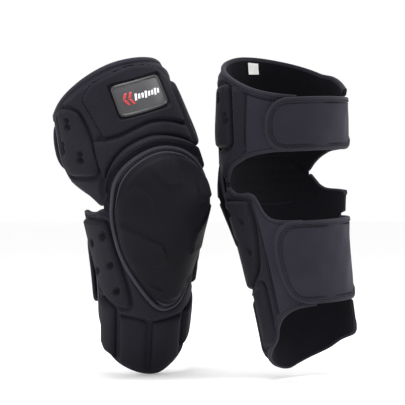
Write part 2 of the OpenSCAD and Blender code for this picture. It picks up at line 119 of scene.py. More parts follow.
def settled(points, side):
    """The shared shape as one soft guard stands: each has its own lean, rim and bulge."""
    thigh_splay, shin_splay, rise, bulge, lift = SETTLE[side]
    x, y, z = np.moveaxis(np.array(points, float), -1, 0)
    f = bend(z)
    front = 0.5 - (y - f * slope(z, THIGH_LEAN, SHIN_LEAN)) / (2 * KNEE_HALF_WIDTH)
    outer = ease(x / KNEE_HALF_WIDTH)
    x = x + bulge * outer * hump(z, 50, 35) + f * slope(z, thigh_splay, shin_splay)
    z = z + rise * ease((z - 70) / 80) * front + lift * outer * hump(z, -22, 20)
    return np.stack([x, y, z], -1)


def hump(x, middle, reach):
    """A smooth rise to 1 round one value."""
    return np.exp(-(((x - middle) / reach) ** 2))


def place(points, side):
    """Points of the shared shape, in millimetres, as row-frame metres on one guard."""
    turn, pitch, roll = STANCE[side]
    spin = rotation("y", roll) @ rotation("x", -pitch) @ rotation("z", turn)
    mirrored = settled(points, side) * ((-1, 1, 1) if side == "right" else (1, 1, 1))
    return (mirrored @ spin.T + knee_centre(side)) * MM


def bend(z):
    return np.sqrt(z * z + KNEE_BEND**2) - KNEE_BEND


def half_sizes(z):
    f = bend(z)
    narrowing = 1 - np.exp(-f / TAPER)
    a = np.where(z > 0, KNEE_HALF_WIDTH + FLARE_WIDTH * f, KNEE_HALF_WIDTH - DROP_WIDTH * narrowing)
    b = np.where(z > 0, KNEE_HALF_DEPTH + FLARE_DEPTH * f, KNEE_HALF_DEPTH - DROP_DEPTH * narrowing)
    return a, b


def slope(z, thigh, shin):
    """How much the leg leans at a height, from its lean in degrees above and below the knee."""
    return np.where(z > 0, math.tan(math.radians(thigh)), math.tan(math.radians(shin)))


def leg(u, z, t):
    """Points on the shared shape, in millimetres, as an array with x, y, z in its last axis."""
    u, z, t = np.broadcast_arrays(np.asarray(u, float), np.asarray(z, float), np.asarray(t, float))
    a, b = half_sizes(z)
    s, c = np.sin(np.radians(u)), np.cos(np.radians(u))
    k = (abs(s) ** SQUARENESS + abs(c) ** SQUARENESS) ** (-1 / SQUARENESS)
    s, c = s * k, c * k
    nx = np.sign(s) * abs(s) ** (SQUARENESS - 1) / a
    ny = np.sign(c) * abs(c) ** (SQUARENESS - 1) / b
    length = np.hypot(nx, ny)
    f = bend(z)
    x = a * s + t * nx / length
    y = -b * c - t * ny / length + f * slope(z, THIGH_LEAN, SHIN_LEAN)
    return np.stack([x, y, z], -1)


def mm_per_degree(z):
    a, b = half_sizes(np.asarray(z, float))
    return (a + b) / 2 * math.pi / 180


def flat(u, z):
    """Leg coordinates as flat millimetres, for distances along the surface."""
    u, z = np.broadcast_arrays(np.asarray(u, float), np.asarray(z, float))
    return np.stack([u * mm_per_degree(z), z], -1)


# ---- curves and outlines ----


def curve(stations, x):
    """Smooth curve through a few stations, level beyond its ends."""
    p = np.array(stations, float)
    x = np.clip(np.asarray(x, float), p[0, 0], p[-1, 0])
    ahead = np.minimum(np.arange(len(p)) + 1, len(p) - 1)
    behind = np.maximum(np.arange(len(p)) - 1, 0)
    rise = (p[ahead, 1] - p[behind, 1]) / (p[ahead, 0] - p[behind, 0])
    i = np.clip(np.searchsorted(p[:, 0], x, side="right") - 1, 0, len(p) - 2)
    w = p[i + 1, 0] - p[i, 0]
    t = (x - p[i, 0]) / w
    return (
        (2 * t**3 - 3 * t**2 + 1) * p[i, 1]
        + (t**3 - 2 * t**2 + t) * w * rise[i]
        + (3 * t**2 - 2 * t**3) * p[i + 1, 1]
        + (t**3 - t**2) * w * rise[i + 1]
    )


def through(*stations):
    """The smooth curve through a few stations, as a function."""
    return lambda x: curve(stations, x)


def at_height(z):
    """A level outline."""
    return lambda u: z + 0 * u


def ease(x):
    t = np.clip(x, 0, 1)
    return t * t * (3 - 2 * t)


def shoulder(x):
    """Quarter round from 0 at the edge to 1."""
    return np.sqrt(1 - (1 - np.clip(x, 0, 1)) ** 2)


def rim(u):
    front = ((1 + np.cos(np.radians(u))) / 2) ** 1.5
    rise, drop = 7 * ease(-u / 80), 11 * ease((-u - 88) / 16.5)
    return RIM_BACK + (RIM_FRONT - RIM_BACK) * front + rise - drop


def wing(u, z):
    """The sleeves reach further round the inner side of the leg above and below the strap roots."""
    below_knee = np.where(z > -100, 11 * ease((z + 47.5) / 4), 14 * ease((-144.5 - z) / 5))
    reach = np.where(z > 0, 20 * ease((z - 91) / 4), below_knee)
    return u - ease((-u - 80) / 24.5) * reach


# heights of the outlines over the angle round the leg

thigh_low = through((-104.5, 31), (-94, 30), (-86, 28), (-75, 21.5), (-68, 14), (-63.5, 7), (-59, 4),
                    (-52, 13), (-40, 24), (0, 24), (40, 24), (52, 13), (60, 1), (64, -2), (72, 10),
                    (80, 16), (95, 23), (110, 28), (130, 31), (180, 31))
shin_top = through((-104.5, -19.5), (-96, -18.5), (-82, -16.5), (-74, -12), (-68, -4), (-64, 1),
                   (-61, -4), (-52, -22), (-40, -32), (0, -32), (40, -32), (52, -22), (60, -12),
                   (64, -9), (75, -15), (85, -17), (104, -19), (111, -38), (118, -46), (133, -49),
                   (180, -49))
hem = through((-104.5, -172), (-103, -181), (-98, -188), (-90, -193), (-75, -201), (-60, -209),
              (-40, -217), (-20, -224), (0, -HEM_FRONT), (20, -225), (40, -216), (60, -205),
              (75, -195), (88, -184), (93, -173), (102, -162), (112, -155), (125, -149),
              (140, -146), (180, -143))
front_groove = through((-47, 66), (-42, 69), (-20, 81), (-5, 84), (10, 82), (24, 78), (37, 77), (45, 77))
panel_top = through((-45, 121), (-36, 134), (-24, 141), (-4, 145), (16, 141), (28, 134), (37, 121))
roll_top = through((-52, 32), (-45, 44), (-30, 57), (-12, 67), (3, 70), (21, 65), (32, 55), (43, 38),
                   (52, 20))
roll_bottom = through((-52, 27), (-46, 35), (-27, 50), (-10, 59.5), (3, 61), (16, 58), (25, 52.5),
                      (37, 41), (46, 27), (52, 13))
rib_top = through((-33, -162), (-15, -161), (8, -159), (16, -158), (20, -157), (32, -150), (56, -142))
low_pad_bottom = through((-90, -184), (-80, -192), (-60, -199), (-33, -207), (59, -200), (70, -195),
                         (82, -190), (90, -180))
low_pad_top = through((-90, -146), (-86, -139), (-75, -141), (-56, -151), (-33, -160), (59, -144),
                      (63, -133), (75, -126), (87, -120), (90, -127))

# angles of the side pads' edges over the height

thigh_side_front = through((38, 47), (57, 46), (87, 49), (107, 53), (115, 56))
thigh_side_rear = through((38, 86), (60, 85), (115, 80))
shin_outer_front = through((-132, 41), (-120, 42.5), (-103, 46), (-83, 51), (-55, 57), (-36, 59.5),
                           (-25, 60))
shin_outer_rear = through((-132, 50), (-128, 58), (-122, 66), (-115, 76), (-107, 84), (-95, 90),
                          (-55, 99), (-25, 98.5))
shin_inner_rear = through((-132, -66), (-127, -72), (-116, -82), (-95, -89.5), (-55, -99), (-25, -98.5))
shin_inner_front = through((-132, -52), (-103, -53), (-71, -59), (-36, -62), (-25, -64))


def strap_depth(u):
    """Depth of a strap's inner face: over the wing's loop panel, then down to its sewn root."""
    return STRAP_OVER_WING * (1 - ease((u - 154) / 70))


def cup_outline(phi):
    c, s = np.cos(phi), np.sin(phi)
    z = CUP_MID + s * np.where(s > 0, CUP_TOP - CUP_MID, CUP_TIP + CUP_MID)
    half = np.where(c > 0, CUP_OUTER_HALF, CUP_INNER_HALF)
    u = half * c * (1 - 0.47 * np.minimum(s, 0) ** 2 * abs(c)) + (z - CUP_TOP) / CUP_LEAN
    return u, z


# ---- grids and distances ----


def round_angles(n):
    return np.linspace(0, 2 * math.pi, n + 1)[:-1]


def clustered(first, last, n, pull):
    """n values from first to last, closer together at both ends."""
    x = np.linspace(0, 1, n)
    x = (1 - pull) * x + pull * (0.5 - 0.5 * np.cos(np.pi * x))
    return first + (last - first) * x


def columns(us, low, high, n, pull):
    """Angle and height grids whose columns run from one outline up to another."""
    us = np.asarray(us, float)
    s = clustered(0, 1, n, pull)[:, None]
    z = low(us)[None, :] * (1 - s) + high(us)[None, :] * s
    return np.broadcast_to(us, z.shape).copy(), z


def corner_inset(z, first, last, radius):
    """How far a round corner draws in a pad's side at each height, in millimetres."""
    e = np.clip(np.minimum(z - first, last - z), 0, radius)
    return radius - np.sqrt(np.maximum(radius**2 - (radius - e) ** 2, 0))


def rounded_rows(first, last, left, right, rows, cols, radius):
    """Grids of a pad between two side curves, with round corners."""
    z = clustered(first, last, rows, 0.75)
    inset = corner_inset(z, first, last, radius) / mm_per_degree(z)
    s = clustered(0, 1, cols, 0.6)[None, :]
    a, b = (left(z) + inset)[:, None], (right(z) - inset)[:, None]
    u = a * (1 - s) + b * s
    return u, np.broadcast_to(z[:, None], u.shape).copy()


def boundary(u, z):
    """The rim of a grid, once round, as flat millimetres."""
    ring_u = np.concatenate([u[0, :-1], u[:-1, -1], u[-1, :0:-1], u[:0:-1, 0]])
    ring_z = np.concatenate([z[0, :-1], z[:-1, -1], z[-1, :0:-1], z[:0:-1, 0]])
    return flat(ring_u, ring_z)


def distance(points, line):
    """Distance of flat points, of any grid shape, to a closed line of flat points."""
    p = points.reshape(-1, 2)
    best = np.full(len(p), np.inf)
    for start, end in zip(line, np.roll(line, -1, 0)):
        along = end - start
        size = along @ along
        if size < 1e-9:
            continue
        share = np.clip(((p - start) @ along) / size, 0, 1)
        best = np.minimum(best, np.hypot(*(p - start - share[:, None] * along).T))
    return best.reshape(points.shape[:-1])


def inside(points, line):
    """Whether flat points lie inside a closed line."""
    x, y = points[..., 0], points[..., 1]
    result = np.zeros(x.shape, bool)
    for (x1, y1), (x2, y2) in zip(line, np.roll(line, -1, 0)):
        if y1 == y2:
            continue
        crosses = (y1 > y) != (y2 > y)
        result ^= crosses & (x < (x2 - x1) * (y - y1) / (y2 - y1) + x1)
    return result


# ---- meshes ----


def grid_faces(rows, cols, start=0, wrap=False):
    """Quads of a grid of vertices, facing outwards where columns run to positive angles."""
    i, j = np.meshgrid(np.arange(rows - 1), np.arange(cols if wrap else cols - 1), indexing="ij")
    a = start + i * cols + j
    b = start + i * cols + (j + 1) % cols
    return np.stack([a, b, b + cols, a + cols], -1).reshape(-1, 4)


def shell(u, z, inner, outer):
    """Closed shell between two depths over a grid: vertices, faces, and each vertex's angle and height."""
    rows, cols = u.shape
    n = rows * cols
    points = np.concatenate([leg(u, z, inner).reshape(-1, 3), leg(u, z, outer).reshape(-1, 3)])
    index = np.arange(n).reshape(rows, cols)
    ring = np.concatenate([index[0, :-1], index[:-1, -1], index[-1, :0:-1], index[:0:-1, 0]])
    after = np.roll(ring, -1)
    wall = np.stack([ring, after, after + n, ring + n], -1)
    faces = np.concatenate([grid_faces(rows, cols)[:, ::-1], grid_faces(rows, cols, n), wall])
    skin = np.stack([u, z], -1).reshape(-1, 2)
    return points, faces, np.concatenate([skin, skin])


def dome(rings, around, inner, outer):
    """Closed dome on the cup's outline: inner and outer give the depth at shares of the way out."""
    phi = np.arange(around) * 2 * math.pi / around
    edge_u, edge_z = cup_outline(phi)
    shares = np.asarray(rings, float)[:, None]
    u = CUP_CENTRE[0] + shares * (edge_u - CUP_CENTRE[0])
    z = CUP_CENTRE[1] + shares * (edge_z - CUP_CENTRE[1])
    n = u.size
    points = np.concatenate([leg(u, z, inner(u, z, shares)).reshape(-1, 3),
                             leg(u, z, outer(u, z, shares)).reshape(-1, 3)])
    m = len(rings)
    back, front = grid_faces(m, around, 0, True), grid_faces(m, around, n, True)[:, ::-1]
    last = (m - 1) * around + np.arange(around)
    after = (m - 1) * around + (np.arange(around) + 1) % around
    wall = np.stack([last, last + n, after + n, after], -1)[:, ::-1]
    faces = [tuple(f) for f in np.concatenate([back, front, wall])]
    faces.append(tuple(range(around))[::-1])
    faces.append(tuple(range(n, n + around)))
    skin = np.stack([u, z], -1).reshape(-1, 2)
    return points, faces, np.concatenate([skin, skin])


def band(u, z, section, closed=False, sign=1):
    """A solid tape along a line on the leg. section lists (inset, depth) points round the tape's cut."""
    line = flat(u, z)
    ahead = np.roll(line, -1, 0) - np.roll(line, 1, 0)
    if not closed:
        ahead[0], ahead[-1] = line[1] - line[0], line[-1] - line[-2]
    ahead /= np.linalg.norm(ahead, axis=1)[:, None]
    inward = np.stack([-ahead[:, 1], ahead[:, 0]], -1) * sign
    cut = np.array(section, float)
    x = line[:, None, :] + cut[None, :, :1] * inward[:, None, :]
    su, sz = x[..., 0] / mm_per_degree(x[..., 1]), x[..., 1]
    points = leg(su, sz, np.broadcast_to(cut[None, :, 1], su.shape))
    rows, cols = su.shape
    faces = [tuple(f) for f in grid_faces(rows, cols, 0, True)]
    if closed:
        a = (rows - 1) * cols + np.arange(cols)
        b = np.arange(cols)
        faces += [tuple(f) for f in np.stack([a, np.roll(a, -1), np.roll(b, -1), b], -1)]
    else:
        faces += [tuple(range(cols))[::-1], tuple(range((rows - 1) * cols, rows * cols))]
    if sign < 0:
        faces = [f[::-1] for f in faces]
    return points.reshape(-1, 3), faces, np.stack([su, sz], -1).reshape(-1, 2)


STITCH_RINGS = [(-0.5, 0.35), (-0.36, 0.95), (0.0, 1.0), (0.36, 0.95), (0.5, 0.35)]
STITCH_SIDES = 5
THREAD_SIZE = 0.6


def stitches(u, z, depth, pitch=3.6, length=2.4, slant=0.0):
    """Thread stitches along a line on the leg, as small closed beads."""
    u, z = np.asarray(u, float), np.asarray(z, float)
    depth = np.broadcast_to(np.asarray(depth, float), u.shape)
    line = leg(u, z, depth)
    steps = np.linalg.norm(np.diff(line, axis=0), axis=1)
    along = np.concatenate([[0], np.cumsum(steps)])
    count = max(2, int(along[-1] / pitch))
    at = (np.arange(count) + 0.5) * along[-1] / count
    centre = np.stack([np.interp(at, along, line[:, k]) for k in range(3)], -1)
    cu, cz, cd = (np.interp(at, along, v) for v in (u, z, depth))
    ahead = np.stack([np.interp(at + 0.5, along, line[:, k]) - np.interp(at - 0.5, along, line[:, k])
                      for k in range(3)], -1)
    ahead /= np.linalg.norm(ahead, axis=1)[:, None]
    up = leg(cu, cz, cd + 1) - leg(cu, cz, cd)
    side = np.cross(ahead, up)
    side /= np.linalg.norm(side, axis=1)[:, None]
    if slant:
        turn = math.radians(slant) * np.where(np.arange(count) % 2, 1, -1)[:, None]
        c, s = np.cos(turn), np.sin(turn)
        ahead, side = ahead * c + side * s, side * c - ahead * s
    rings = []
    for share, size in STITCH_RINGS:
        dip = 0.9 * (share * 2) ** 4 * THREAD_SIZE
        for k in range(STITCH_SIDES):
            a = 2 * math.pi * k / STITCH_SIDES
            rings.append(centre + ahead * share * length + side * (math.cos(a) * size * THREAD_SIZE)
                         + up * (math.sin(a) * size * THREAD_SIZE * 0.75 - dip))
    points = np.stack(rings, 1)
    n = len(rings)
    one = [tuple(f) for f in grid_faces(len(STITCH_RINGS), STITCH_SIDES, 0, True)]
    one += [tuple(range(STITCH_SIDES))[::-1], tuple(range(n - STITCH_SIDES, n))]
    faces = [tuple(i + n * s for i in f) for s in range(count) for f in one]
    skin = np.repeat(np.stack([cu, cz], -1), n, 0)
    return points.reshape(-1, 3), faces, skin


def joined(*parts):
    """Several meshes as one."""
    points, faces, skins, start = [], [], [], 0
    for p, f, s in parts:
        points.append(p)
        faces += [tuple(int(i) + start for i in face) for face in f]
        skins.append(s)
        start += len(p)
    return np.concatenate(points), faces, np.concatenate(skins)


SHARP_ANGLE = math.radians(50)


def new_object(name, data):
    obj = bpy.data.objects.new(name, data)
    bpy.context.scene.collection.objects.link(obj)
    return obj


def make_object(name, points, faces, skin, material, side):
    """One mesh object on one guard, with the leg coordinates as its weave map."""
    mesh = bpy.data.meshes.new(name)
    order = [tuple(int(i) for i in f) for f in faces]
    if side == "right":
        order = [f[::-1] for f in order]
    mesh.from_pydata(place(points, side).tolist(), [], order)
    mesh.polygons.foreach_set("use_smooth", [True] * len(mesh.polygons))
    corner = np.zeros(len(mesh.loops), np.int32)
    mesh.loops.foreach_get("vertex_index", corner)
    uv = flat(skin[:, 0], skin[:, 1]) * MM
    layer = mesh.uv_layers.new(name="UVMap")
    layer.data.foreach_set("uv", uv[corner].astype(np.float32).ravel())
    mesh.validate()
    mesh.update()
    mesh.set_sharp_from_angle(angle=SHARP_ANGLE)
    mesh.materials.append(material)
    return new_object(name, mesh)


BLENDS = {  # two bodies, and two points in leg coordinates for each piece; the piece is only fixed in place and does not bend between them
    "thigh_strap": ("thigh", (252.0, 60.0, 3.0), (222.0, 60.0, 3.0)),
    "calf_strap": ("shin", (252.0, -95.0, 3.0), (222.0, -95.0, 3.0)),
}


KNEE_BLEND = (14.0, -24.0)  # two heights on the knee's stretch panel; the panel is only fixed in place and does not bend between them


def install(part, built, material, body, node=None):
    """The same piece on both guards, in place of its CAD node if it has one. It rides on its body, except
    pieces named in BLENDS and the knee panel, which are only fixed in place.
    """
    for side in ("right", "left"):
        obj = make_object(f"{side}_{part}_soft", *built, material, side)
        if body in BLENDS:
            other, start, end = BLENDS[body]
            tuple(place([leg(*start)], side)[0])
            tuple(place([leg(*end)], side)[0])
            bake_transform(obj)
        elif body == "knee":
            start, end = place([(0, 0, height) for height in KNEE_BLEND], side)
            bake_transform(obj)
        else:
            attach(obj, f"{side}_{body}_body")
        if node:
            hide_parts(f"{side}_{node}")


# ---- materials ----


def new_material(name):
    m = bpy.data.materials.new(name)
    m.use_nodes = True
    nodes = m.node_tree.nodes
    return m, nodes, m.node_tree.links, nodes["Principled BSDF"]


def add(nodes, kind, **values):
    node = nodes.new(kind)
    for key, value in values.items():
        if hasattr(node, key):
            setattr(node, key, value)
        else:
            node.inputs[key.replace("_", " ")].default_value = value
    return node


def textured(nodes, links, kind, vector, **values):
    """A texture node that reads a coordinate output."""
    node = add(nodes, f"ShaderNodeTex{kind}", **values)
    links.new(vector, node.inputs["Vector"])
    return node


def vary_colour(nodes, links, shader, factor, colour, spread, low=0.3, high=0.7):
    """Drive the colour between a darker and a lighter tone."""
    ramp = nodes.new("ShaderNodeValToRGB")
    for element, at, k in zip(ramp.color_ramp.elements, (low, high), (1 - spread, 1 + spread)):
        element.position, element.color = at, (*(c * k for c in colour), 1)
    links.new(factor, ramp.inputs["Fac"])
    links.new(ramp.outputs["Color"], shader.inputs["Base Color"])


def vary_roughness(nodes, links, shader, factor, low, high):
    span = add(nodes, "ShaderNodeMapRange", To_Min=low, To_Max=high)
    links.new(factor, span.inputs["Value"])
    links.new(span.outputs["Result"], shader.inputs["Roughness"])


BANDS = {"knit": "DIAGONAL", "rib": "X"}


def fabric(name, colour, weave, rough, sheen, depth=0.25, kind="knit", patchy=0.16):
    """Knitted, ribbed or brushed cloth. weave is the size of one thread pair, in millimetres."""
    m, nodes, links, shader = new_material(name)
    cloth = add(nodes, "ShaderNodeUVMap", uv_map="UVMap").outputs["UV"]
    space = add(nodes, "ShaderNodeTexCoord").outputs["Object"]
    turns = 1000.0 / weave
    if kind in BANDS:
        a = textured(nodes, links, "Wave", cloth, wave_type="BANDS", bands_direction=BANDS[kind],
                     Scale=turns / 20)
        b = textured(nodes, links, "Voronoi", cloth, feature="F1", Scale=turns)
    else:
        a = textured(nodes, links, "Noise", cloth, Scale=turns * 0.6, Detail=3.0, Roughness=0.6)
        b = textured(nodes, links, "Voronoi", cloth, feature="F1", Scale=turns * 1.2)
    mix = add(nodes, "ShaderNodeMath", operation="ADD")
    links.new(a.outputs["Fac"], mix.inputs[0])
    links.new(b.outputs["Distance"], mix.inputs[1])
    cloudy = textured(nodes, links, "Noise", space, Scale=28.0, Detail=4.0, Roughness=0.55)
    fuzz = textured(nodes, links, "Noise", space, Scale=900.0, Detail=2.0, Roughness=0.6)
    both = add(nodes, "ShaderNodeMath", operation="MULTIPLY_ADD")
    links.new(fuzz.outputs["Fac"], both.inputs[0])
    both.inputs[1].default_value = 0.5
    links.new(cloudy.outputs["Fac"], both.inputs[2])
    vary_colour(nodes, links, shader, both.outputs["Value"], colour, patchy, 0.5, 1.0)
    bump = add(nodes, "ShaderNodeBump", Strength=depth, Distance=0.0004)
    links.new(mix.outputs["Value"], bump.inputs["Height"])
    soft = add(nodes, "ShaderNodeBump", Strength=0.25, Distance=0.0015)
    links.new(cloudy.outputs["Fac"], soft.inputs["Height"])
    links.new(bump.outputs["Normal"], soft.inputs["Normal"])
    links.new(soft.outputs["Normal"], shader.inputs["Normal"])
    vary_roughness(nodes, links, shader, cloudy.outputs["Fac"], rough - 0.06, min(rough + 0.08, 1.0))
    shader.inputs["Sheen Weight"].default_value = sheen
    shader.inputs["Sheen Roughness"].default_value = 0.45
    shader.inputs["Sheen Tint"].default_value = (0.9, 0.9, 1.0, 1)
    shader.inputs["Specular IOR Level"].default_value = 0.06
    return m


def moulded(name, colour, rough, grain=700.0, depth=0.2):
    """Moulded plastic, rubber or painted metal with a fine grain."""
    m, nodes, links, shader = new_material(name)
    space = add(nodes, "ShaderNodeTexCoord").outputs["Object"]
    fine = textured(nodes, links, "Noise", space, Scale=grain, Detail=3.0, Roughness=0.6)
    broad = textured(nodes, links, "Noise", space, Scale=35.0, Detail=3.0, Roughness=0.5)
    vary_colour(nodes, links, shader, broad.outputs["Fac"], colour, 0.2)
    bump = add(nodes, "ShaderNodeBump", Strength=depth, Distance=0.0003)
    links.new(fine.outputs["Fac"], bump.inputs["Height"])
    links.new(bump.outputs["Normal"], shader.inputs["Normal"])
    vary_roughness(nodes, links, shader, broad.outputs["Fac"], rough - 0.08, rough + 0.08)
    return m


def white_stage():
    m, _, _, shader = new_material("stage_white")
    shader.inputs["Base Color"].default_value = (0.97, 0.97, 0.97, 1)
    shader.inputs["Roughness"].default_value = 0.9
    shader.inputs["Specular IOR Level"].default_value = 0.1
    return m


PAD = fabric("pad_fabric", (0.0085, 0.0082, 0.0115), weave=0.7, rough=0.66, sheen=0.03)
CUP = fabric("cup_fabric", (0.0046, 0.0044, 0.0064), weave=0.7, rough=0.58, sheen=0.02)
NEOPRENE = fabric("neoprene", (0.0098, 0.0095, 0.0138), weave=0.9, rough=0.75, sheen=0.05)
LOOP = fabric("loop_fabric", (0.0150, 0.0143, 0.0205), weave=1.4, rough=0.85, sheen=0.08, depth=0.5,
              kind="pile")
LINING = fabric("lining", (0.005, 0.0048, 0.0068), weave=0.8, rough=0.85, sheen=0.03)
STRETCH = fabric("stretch_fabric", (0.006, 0.006, 0.008), weave=1.6, rough=0.85, sheen=0.03, depth=0.5,
                 kind="rib")
# painted highlight: the piping is about three times as light as the pad fabric, so the highlights along its
# cords are carried in its colour
PIPING_PAINTED_HIGHLIGHT = fabric("piping", (0.0290, 0.0280, 0.0360), weave=0.6, rough=0.6, sheen=0.06, kind="rib")
TAPE = fabric("binding", (0.0150, 0.0145, 0.0200), weave=0.6, rough=0.65, sheen=0.06, kind="rib")
HOOK = fabric("hook_tape", (0.015, 0.015, 0.016), weave=1.6, rough=0.6, sheen=0.05, depth=0.8,
              kind="pile")
THREAD = fabric("thread", (0.003, 0.003, 0.004), weave=0.3, rough=0.7, sheen=0.0)
LABEL = fabric("label", (0.75, 0.75, 0.73), weave=0.5, rough=0.8, sheen=0.1, patchy=0.03)
FOAM = moulded("foam", (0.10, 0.10, 0.10), rough=0.9, grain=1200.0, depth=0.6)
PLASTIC = moulded("shell_plastic", (0.02, 0.02, 0.021), rough=0.42)
RUBBER = moulded("badge_rubber", (0.012, 0.012, 0.013), rough=0.45)
METAL = moulded("badge_metal", (0.03, 0.03, 0.033), rough=0.42, depth=0.08)
WHITE = moulded("badge_white", (0.62, 0.62, 0.64), rough=0.45, depth=0.08)
RED = moulded("badge_red", (0.35, 0.02, 0.025), rough=0.45)

# ---- pads: every pad knows its outline, its top and how deep its edge sinks ----

PAD_BASE = SLEEVE_T + 0.3
BADGE_HEIGHT = 112.5
PANEL_SHIFT = -6.0  # the front panel and its badge sit a little towards the inner side
FRONT_TOP, ARCH_TOP, ROLL_TOP, SIDE_TOP = 9.6, 9.0, 11.6, 11.6
RIB_TOP, LOW_TOP = 9.6, 10.6
THIGH_FOAM, SHIN_FOAM = 4.8, 4.4  # how far the foam under the front fabric lifts it off the sleeve


class Pad:
    """A moulded pad over a grid of leg coordinates."""

    def __init__(self, u, z, top, edge, width):
        """top gives the depth at a distance from the outline, and edge the depth at the outline."""
        self.u, self.z, self.top, self.edge, self.width = u, z, top, edge, width
        self.line = boundary(u, z)

    def built(self, relief=None):
        """The pad as a mesh: its edge rounds up over a width, and relief is added to its face."""
        d = distance(flat(self.u, self.z), self.line)
        low = self.edge(self.u, self.z)
        outer = low + (self.top(d) - low) * shoulder(d / self.width)
        if relief:
            outer = outer + relief(self.u, self.z)
        return shell(self.u, self.z, PAD_BASE, outer)


def mirrored(pad):
    return Pad(-pad.u[:, ::-1], pad.z[:, ::-1], pad.top, pad.edge, pad.width)


def level(value, crown=0.0, reach=16.0):
    """A flat top that still rises a little towards the pad's middle."""
    return lambda d: value - crown + crown * ease(d / reach)


def plain_edge(u, z):
    return np.full(np.shape(u), PAD_BASE + 0.2)


def panel_edge(u, z):
    """The front panel sinks deep at the groove below it, and only a little at its other sides."""
    deep = ease((z - front_groove(u)) / 9.0)
    return PAD_BASE + 0.2 + deep * 3.6


def arch_edge(u, z):
    """The arch runs into the sleeve's foam at its two ends without a groove."""
    ends = ease((abs(u) - 40.5) / 4.5)
    return PAD_BASE + 0.4 + ends * (THIGH_FOAM - 0.5)


def rib_edge(u, z):
    """Ribs sink at their sides and at their upper ends, and stay thick at the hem."""
    bottom = ease((hem(u) + 12 - z) / 9.0)
    return PAD_BASE + 0.3 + bottom * 3.0


front_u, front_z = columns(clustered(-46, 37, 97, 0.4), lambda u: front_groove(u) + 1.4, panel_top,
                           73, 0.5)
front_u += np.clip((front_z - 79) / 33, 0, 1.2) * 7 * ease((front_u - 5) / 32)
front_pad = Pad(front_u, front_z, level(FRONT_TOP), panel_edge, 4.0)
arch_pad = Pad(*columns(clustered(-45.5, 45.5, 81, 0.3), lambda u: roll_top(u) + 0.9,
                        lambda u: front_groove(u) - 1.2, 25, 0.6), level(ARCH_TOP), arch_edge, 5.0)
roll_pad = Pad(*columns(clustered(-52, 52, 91, 0.3), roll_bottom, lambda u: roll_top(u) - 0.9, 17, 0.6),
               level(ROLL_TOP), plain_edge, 5.0)
thigh_side = Pad(*rounded_rows(38, 114, thigh_side_front, thigh_side_rear, 65, 41, 9),
                 level(SIDE_TOP, 1.0), plain_edge, 5.0)
thigh_side_inner = mirrored(thigh_side)
shin_side = Pad(*rounded_rows(-132, -25, shin_outer_front, shin_outer_rear, 81, 41, 5),
                level(SIDE_TOP, 0.8), plain_edge, 4.5)
shin_side_inner = Pad(*rounded_rows(-132, -25, shin_inner_rear, shin_inner_front, 81, 41, 5),
                      level(SIDE_TOP, 0.8), plain_edge, 4.5)


def low_pad(first, last, cols):
    return Pad(*columns(clustered(first, last, cols, 0.5), low_pad_bottom, low_pad_top, 45, 0.5),
               level(LOW_TOP, 0.8), plain_edge, 6.0)


def rib(first, last, cols):
    return Pad(*columns(clustered(first, last, cols, 0.5), lambda u: hem(u) + 5, rib_top, 45, 0.4),
               level(RIB_TOP, 0.8, 14), rib_edge, 6.0)


low_outer, low_inner = low_pad(61.5, 90, 33), low_pad(-90, -35, 37)
outer_rib, inner_rib = rib(21.5, 55.0, 33), rib(-28.0, 14.5, 37)

THIGH_PADS = [front_pad, arch_pad, roll_pad, thigh_side, thigh_side_inner]
SHIN_PADS = [shin_side, shin_side_inner, low_outer, low_inner, outer_rib, inner_rib]


def ripple(u, z, size):
    """The gentle unevenness of sewn cloth."""
    x, y = np.radians(u) * 75, z
    return size * (np.sin(x / 9.3 + 0.6 * np.sin(y / 17)) * np.sin(y / 13.1 + 1.3)
                   + 0.6 * np.sin((x + y) / 21.0 + 0.4) + 0.35 * np.sin(x / 5.1 - y / 11.7))


def sleeve_depth(u, z, pads, foam, low, high):
    """Outer depth of a sleeve: foam lifts its front, and it sinks round every pad and at its edges."""
    points = flat(u, z)
    front = 1 - ease((abs(u) - 88) / 12)
    depth = SLEEVE_T + foam * front
    for pad in pads:
        d = distance(points, pad.line)
        hidden = inside(points, pad.line)
        edge = np.minimum(pad.edge(u, z), depth)
        around = edge + (depth - edge) * ease((d - 2.2) / 4.0)
        depth = np.where(hidden, np.minimum(SLEEVE_T, depth), np.minimum(depth, around))
    from_edge = np.minimum(z - low, high - z)
    hemmed = SLEEVE_T + (depth - SLEEVE_T) * ease((from_edge - 1) / 9)
    return hemmed + ripple(u, z, 0.22) * (1 - front) * ease(from_edge / 12)


def sleeve_angles():
    return np.concatenate([np.linspace(MEDIAL_END, -97, 5), np.linspace(-96, 97, 210),
                           np.linspace(99, WING_END, 27)])


# ---- thigh section ----


def edge_tape(width=5.0, out=SLEEVE_T + 0.7, inn=-0.9):
    """The cut of a tape folded over an edge; insets are measured inwards from the edge."""
    mid = (out + inn) / 2
    return [(width, inn), (0.4, inn), (-0.5, inn + 0.8), (-0.8, mid), (-0.5, out - 0.8), (0.4, out),
            (width - 0.4, out), (width, out - 0.35), (width, mid)]


def build_lining(part, body, low, high, rows):
    u, z = columns(np.linspace(MEDIAL_END, WING_END, 120), low, high, rows, 0.2)
    u = wing(u, z)
    inner = -1.7 + ripple(u * 1.3, z, 0.18)
    install(part, shell(u, z, inner, -0.4), LINING, body, part)


